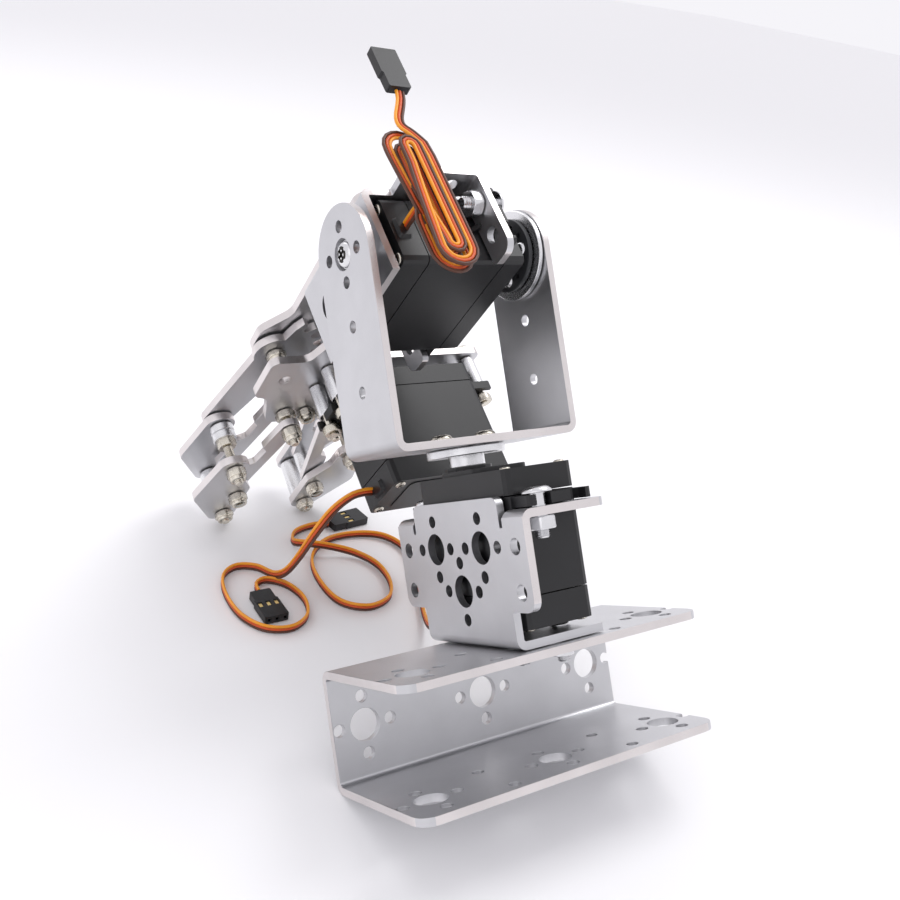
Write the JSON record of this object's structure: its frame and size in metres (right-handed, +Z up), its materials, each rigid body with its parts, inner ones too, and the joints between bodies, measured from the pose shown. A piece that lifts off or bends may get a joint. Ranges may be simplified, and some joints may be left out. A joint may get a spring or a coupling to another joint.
{
  "type": "pan tilt claw arm",
  "caption": "Two-axis aluminium servo arm on a channel beam, with a geared gripper claw and three servos.",
  "frame": {"origin": "centre of the bounding box's bottom, on the surface that the arm rests on", "axes": "+Z up, +X along the beam, +Y from the beam's rear edge towards the claw"},
  "size_m": [0.0866, 0.177, 0.1589],
  "materials": {
    "satin_aluminium": "bead-blasted satin",
    "plated_steel": "nickel-plated screws and nuts",
    "black_plastic": "slightly glossy",
    "lead_insulation": "orange, red and brown three-wire ribbon"
  },
  "bodies": {
    "base": {"base_beam": "satin_aluminium", "pan_bracket": "satin_aluminium", "pan_servo_bottom_cover": "black_plastic", "pan_servo_case": "black_plastic", "pan_servo_gear_cover": "black_plastic", "pan_servo_ear_bolt_1": "plated_steel", "pan_servo_ear_bolt_2": "plated_steel", "base_bolt_1": "plated_steel", "base_bolt_2": "plated_steel", "pan_lead": "lead_insulation", "pan_lead_plug": "black_plastic"},
    "pan": {"pan_horn": "satin_aluminium", "u_bracket": "satin_aluminium", "tilt_servo_output_shaft": "plated_steel", "tilt_horn_plate": "satin_aluminium", "tilt_horn": "black_plastic", "tilt_idler_screw": "plated_steel"},
    "tilt": {"tilt_bracket": "satin_aluminium", "tilt_servo_bottom_cover": "black_plastic", "tilt_servo_case": "black_plastic", "tilt_servo_gear_cover": "black_plastic", "tilt_servo_ear_bolt_1": "plated_steel", "tilt_servo_ear_bolt_2": "plated_steel", "tilt_bearing": "plated_steel", "claw_top_plate": "satin_aluminium", "claw_plate_bolt": "plated_steel", "claw_servo_plate": "satin_aluminium", "claw_post_1": "satin_aluminium", "claw_post_2": "satin_aluminium", "claw_servo_standoff_1": "satin_aluminium", "claw_servo_standoff_2": "satin_aluminium", "claw_servo_standoff_3": "satin_aluminium", "claw_servo_standoff_4": "satin_aluminium", "driven_gear_pivot": "plated_steel", "link_pivot_1": "plated_steel", "link_pivot_2": "plated_steel", "claw_servo_bottom_cover": "black_plastic", "claw_servo_case": "black_plastic", "claw_servo_gear_cover": "black_plastic", "claw_lead": "lead_insulation", "claw_lead_plug": "black_plastic", "tilt_lead_tail": "lead_insulation", "tilt_lead_end": "lead_insulation", "tilt_lead_hank": "lead_insulation", "tilt_lead_plug": "black_plastic"},
    "right_arm": {"right_gear_arm": "satin_aluminium", "claw_drive_horn": "plated_steel"},
    "left_arm": {"left_gear_arm": "satin_aluminium"},
    "right_link": {"right_follower": "satin_aluminium"},
    "left_link": {"left_follower": "satin_aluminium"},
    "right_finger": {"finger_right_upper_plate": "satin_aluminium", "finger_right_lower_plate": "satin_aluminium", "finger_right_pivot_screw": "plated_steel", "finger_right_tip_spacer": "satin_aluminium", "finger_right_link_screw": "plated_steel"},
    "left_finger": {"finger_left_upper_plate": "satin_aluminium", "finger_left_lower_plate": "satin_aluminium", "finger_left_pivot_screw": "plated_steel", "finger_left_tip_spacer": "satin_aluminium", "finger_left_link_screw": "plated_steel"}
  },
  "joints": [
    {"name": "pan", "type": "hinge", "parent": "base", "child": "pan", "pos_m": [0.00155, -0.06093, 0.00377], "axis": [0, 0.5474, 0.8369], "range_deg": [-90, 90]},
    {"name": "tilt", "type": "hinge", "parent": "pan", "child": "tilt", "pos_m": [0.00155, 0.01023, 0.11256], "axis": [0.9983, 0.0482, -0.0315], "range_deg": [-3, 110]},
    {"name": "claw_drive", "type": "hinge", "parent": "tilt", "child": "right_arm", "pos_m": [0.00302, 0.04153, 0.06414], "axis": [0.0234, -0.8399, -0.5422], "range_deg": [-15, 35]},
    {"name": "claw_driven", "type": "hinge", "parent": "tilt", "child": "left_arm", "pos_m": [-0.02394, 0.04023, 0.06499], "axis": [0.0234, -0.8399, -0.5422], "range_deg": [-35, 15]},
    {"name": "right_link_pivot", "type": "hinge", "parent": "tilt", "child": "right_link", "pos_m": [-0.00444, 0.05122, 0.04881], "axis": [0.0234, -0.8399, -0.5422], "range_deg": [-15, 35]},
    {"name": "left_link_pivot", "type": "hinge", "parent": "tilt", "child": "left_link", "pos_m": [-0.01842, 0.05055, 0.04925], "axis": [0.0234, -0.8399, -0.5422], "range_deg": [-35, 15]},
    {"name": "right_finger_pivot", "type": "hinge", "parent": "right_arm", "child": "right_finger", "pos_m": [0.00814, 0.06106, 0.03411], "axis": [0.0234, -0.8399, -0.5422], "range_deg": [-35, 15]},
    {"name": "left_finger_pivot", "type": "hinge", "parent": "left_arm", "child": "left_finger", "pos_m": [-0.03279, 0.05909, 0.0354], "axis": [0.0234, -0.8399, -0.5422], "range_deg": [-15, 35]}
  ],
  "couplings": [
    {"joint": "claw_driven", "follows": "claw_drive", "ratio": -1},
    {"joint": "right_link_pivot", "follows": "claw_drive", "ratio": 1},
    {"joint": "left_link_pivot", "follows": "claw_drive", "ratio": -1},
    {"joint": "right_finger_pivot", "follows": "claw_drive", "ratio": -1},
    {"joint": "left_finger_pivot", "follows": "claw_drive", "ratio": 1}
  ]
}
